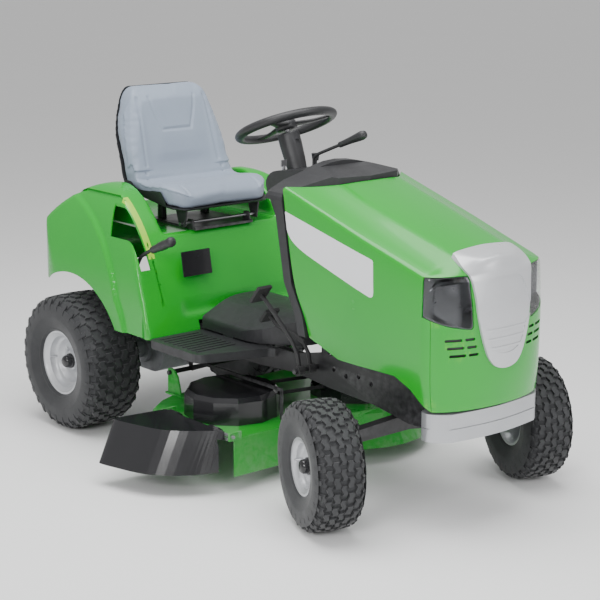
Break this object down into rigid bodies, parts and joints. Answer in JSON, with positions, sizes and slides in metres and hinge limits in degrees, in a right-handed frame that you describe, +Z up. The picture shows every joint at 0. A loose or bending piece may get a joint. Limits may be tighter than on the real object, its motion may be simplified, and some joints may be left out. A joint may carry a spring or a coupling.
{
  "type": "riding lawn mower",
  "caption": "Green riding lawn mower with a grey high-back seat, opening hood, steered front axle and a height-adjustable side-discharge cutting deck.",
  "frame": {"origin": "centre of the machine's box at ground level", "axes": "+X forward, +Y to the driver's left, +Z up"},
  "size_m": [1.8688, 1.1822, 1.1444],
  "materials": {
    "green_panel": "gloss",
    "green_steel": "gloss paint",
    "black_plastic": "matt",
    "black_steel": "satin paint",
    "silver_plastic": "pearl",
    "tyre_rubber": "matt",
    "rim_paint": "satin paint",
    "bare_steel": "satin",
    "cast_case": "cast",
    "seat_vinyl": "soft vinyl",
    "lamp_lens": "clear",
    "lamp_reflector": "mirror",
    "grip_rubber": "matt"
  },
  "bodies": {
    "chassis": {"chassis_frame": "black_steel", "axle_pivot_bolt": "bare_steel", "front_bumper": "silver_plastic", "transaxle_case": "cast_case", "engine_block": "cast_case", "engine_shroud": "black_plastic", "muffler": "bare_steel", "battery": "black_plastic", "rear_body": "green_panel", "footboards": "black_plastic", "tunnel_cover": "black_plastic", "hood_hinge_pin": "bare_steel", "dash_panel": "black_plastic", "column_cover": "black_plastic", "fuel_tank": "black_plastic"},
    "front_axle": {"front_axle_beam": "black_steel"},
    "right_steering": {"right_spindle": "black_steel"},
    "left_steering": {"left_spindle": "black_steel"},
    "front_right_wheel": {"front_right_tyre": "tyre_rubber", "front_right_rim": "rim_paint"},
    "front_left_wheel": {"front_left_tyre": "tyre_rubber", "front_left_rim": "rim_paint"},
    "tie_bar": {"tie_rod": "bare_steel"},
    "rear_right_wheel": {"rear_right_tyre": "tyre_rubber", "rear_right_rim": "rim_paint", "rear_right_axle_shaft": "bare_steel"},
    "rear_left_wheel": {"rear_left_tyre": "tyre_rubber", "rear_left_rim": "rim_paint", "rear_left_axle_shaft": "bare_steel"},
    "steering_column": {"steering_wheel": "black_plastic", "steering_shaft": "bare_steel"},
    "seat_base": {"seat_slider": "black_steel", "seat_hinge_rod": "bare_steel"},
    "seat": {"seat_shell": "black_plastic", "seat_cushion": "seat_vinyl"},
    "hood_assembly": {"hood": "green_panel", "front_fascia": "green_panel", "grille_shield": "silver_plastic", "right_headlight_lens": "lamp_lens", "left_headlight_lens": "lamp_lens", "right_headlight_reflector": "lamp_reflector", "left_headlight_reflector": "lamp_reflector"},
    "lift_shaft": {"height_lever": "black_plastic"},
    "deck": {"deck_shell": "green_steel", "deck_hanger": "black_steel", "right_belt_cover": "black_plastic", "left_belt_cover": "black_plastic", "deck_belt": "grip_rubber", "deflector_hinge_pin": "bare_steel"},
    "right_cutter": {"right_blade_spindle": "bare_steel", "right_blade": "bare_steel"},
    "left_cutter": {"left_blade_spindle": "bare_steel", "left_blade": "bare_steel"},
    "chute_guard": {"deflector": "black_plastic"},
    "drive_pedal_arm": {"drive_pedal": "grip_rubber"},
    "reverse_pedal_arm": {"reverse_pedal": "grip_rubber"},
    "brake_pedal_arm": {"brake_pedal": "grip_rubber"},
    "dash_lever_arm": {"dash_lever": "black_plastic"},
    "throttle": {"throttle_lever": "black_plastic"},
    "key": {"ignition_key": "bare_steel"}
  },
  "joints": [
    {"name": "front_axle_pivot", "type": "hinge", "parent": "chassis", "child": "front_axle", "pos_m": [0.62738, 0.0713, 0.262], "axis": [1, 0, 0], "range_deg": [-3.5, 3.5]},
    {"name": "right_kingpin", "type": "hinge", "parent": "front_axle", "child": "right_steering", "pos_m": [0.62738, -0.2297, 0.262], "axis": [0, 0, 1], "range_deg": [-18, 58]},
    {"name": "left_kingpin", "type": "hinge", "parent": "front_axle", "child": "left_steering", "pos_m": [0.62738, 0.3723, 0.262], "axis": [0, 0, 1], "range_deg": [-18, 58]},
    {"name": "front_right_wheel_spin", "type": "hinge", "parent": "right_steering", "child": "front_right_wheel", "pos_m": [0.59489, -0.31897, 0.189], "axis": [0.342, 0.9397, 0], "continuous": true},
    {"name": "front_left_wheel_spin", "type": "hinge", "parent": "left_steering", "child": "front_left_wheel", "pos_m": [0.65988, 0.46158, 0.189], "axis": [0.342, 0.9397, 0], "continuous": true},
    {"name": "tie_rod_pivot", "type": "hinge", "parent": "right_steering", "child": "tie_bar", "pos_m": [0.52402, -0.19207, 0.225], "axis": [0, 0, 1], "range_deg": [-58, 18]},
    {"name": "rear_right_wheel_spin", "type": "hinge", "parent": "chassis", "child": "rear_right_wheel", "pos_m": [-0.67961, -0.29369, 0.23], "axis": [0, 1, 0], "continuous": true},
    {"name": "rear_left_wheel_spin", "type": "hinge", "parent": "chassis", "child": "rear_left_wheel", "pos_m": [-0.67961, 0.4363, 0.23], "axis": [0, 1, 0], "continuous": true},
    {"name": "steering", "type": "hinge", "parent": "chassis", "child": "steering_column", "pos_m": [-0.02762, 0.0713, 1.057], "axis": [-0.3907, 0, 0.9205], "range_deg": [-54, 174]},
    {"name": "seat_slide", "type": "slide", "parent": "chassis", "child": "seat_base", "axis": [1, 0, 0], "range_m": [-0.04, 0.06]},
    {"name": "seat_tilt", "type": "hinge", "parent": "seat_base", "child": "seat", "pos_m": [-0.37961, 0.0713, 0.713], "axis": [0, 1, 0], "range_deg": [0, 50]},
    {"name": "hood_hinge", "type": "hinge", "parent": "chassis", "child": "hood_assembly", "pos_m": [0.90038, 0.0713, 0.391], "axis": [0, 1, 0], "range_deg": [0, 70]},
    {"name": "height_lever_pivot", "type": "hinge", "parent": "chassis", "child": "lift_shaft", "pos_m": [-0.43961, -0.08869, 0.478], "axis": [0, -1, 0], "range_deg": [0, 40]},
    {"name": "deck_lift", "type": "slide", "parent": "chassis", "child": "deck", "axis": [0, 0, 1], "range_m": [0, 0.0603]},
    {"name": "right_cutter_spin", "type": "hinge", "parent": "deck", "child": "right_cutter", "pos_m": [-0.05962, -0.14069, 0.2], "axis": [0, 0, 1], "continuous": true},
    {"name": "left_cutter_spin", "type": "hinge", "parent": "deck", "child": "left_cutter", "pos_m": [0.03238, 0.2863, 0.2], "axis": [0, 0, 1], "continuous": true},
    {"name": "deflector_hinge", "type": "hinge", "parent": "deck", "child": "chute_guard", "pos_m": [0.04238, -0.3427, 0.182], "axis": [-1, 0, 0], "range_deg": [0, 75], "stiffness_Nm_per_rad": 1.2, "springref_deg": -40.11},
    {"name": "drive_pedal_pivot", "type": "hinge", "parent": "chassis", "child": "drive_pedal_arm", "pos_m": [0.30539, -0.15269, 0.372], "axis": [0, 1, 0], "range_deg": [0, 12], "stiffness_Nm_per_rad": 12, "springref_deg": -20.05},
    {"name": "reverse_pedal_pivot", "type": "hinge", "parent": "chassis", "child": "reverse_pedal_arm", "pos_m": [0.30539, -0.1107, 0.372], "axis": [0, 1, 0], "range_deg": [0, 12], "stiffness_Nm_per_rad": 12, "springref_deg": -20.05},
    {"name": "brake_pedal_pivot", "type": "hinge", "parent": "chassis", "child": "brake_pedal_arm", "pos_m": [0.30539, 0.2833, 0.372], "axis": [0, 1, 0], "range_deg": [0, 12], "stiffness_Nm_per_rad": 12, "springref_deg": -20.05},
    {"name": "dash_lever_pivot", "type": "hinge", "parent": "chassis", "child": "dash_lever_arm", "pos_m": [0.14239, 0.04131, 0.925], "axis": [0, 1, 0], "range_deg": [0, 16]},
    {"name": "throttle_pivot", "type": "hinge", "parent": "chassis", "child": "throttle", "pos_m": [0.04439, 0.13131, 0.88], "axis": [0, 1, 0], "range_deg": [-14, 14]},
    {"name": "key_turn", "type": "hinge", "parent": "chassis", "child": "key", "pos_m": [0.03839, 0.0073, 0.93], "axis": [0, 0, 1], "range_deg": [-60, 0]}
  ],
  "couplings": [
    {"joint": "right_kingpin", "follows": "steering", "ratio": 0.33333},
    {"joint": "left_kingpin", "follows": "steering", "ratio": 0.33333},
    {"joint": "tie_rod_pivot", "follows": "steering", "ratio": -0.33333},
    {"joint": "deck_lift", "follows": "height_lever_pivot", "m_per_rad": 0.0862},
    {"joint": "left_cutter_spin", "follows": "right_cutter_spin", "ratio": 1}
  ]
}
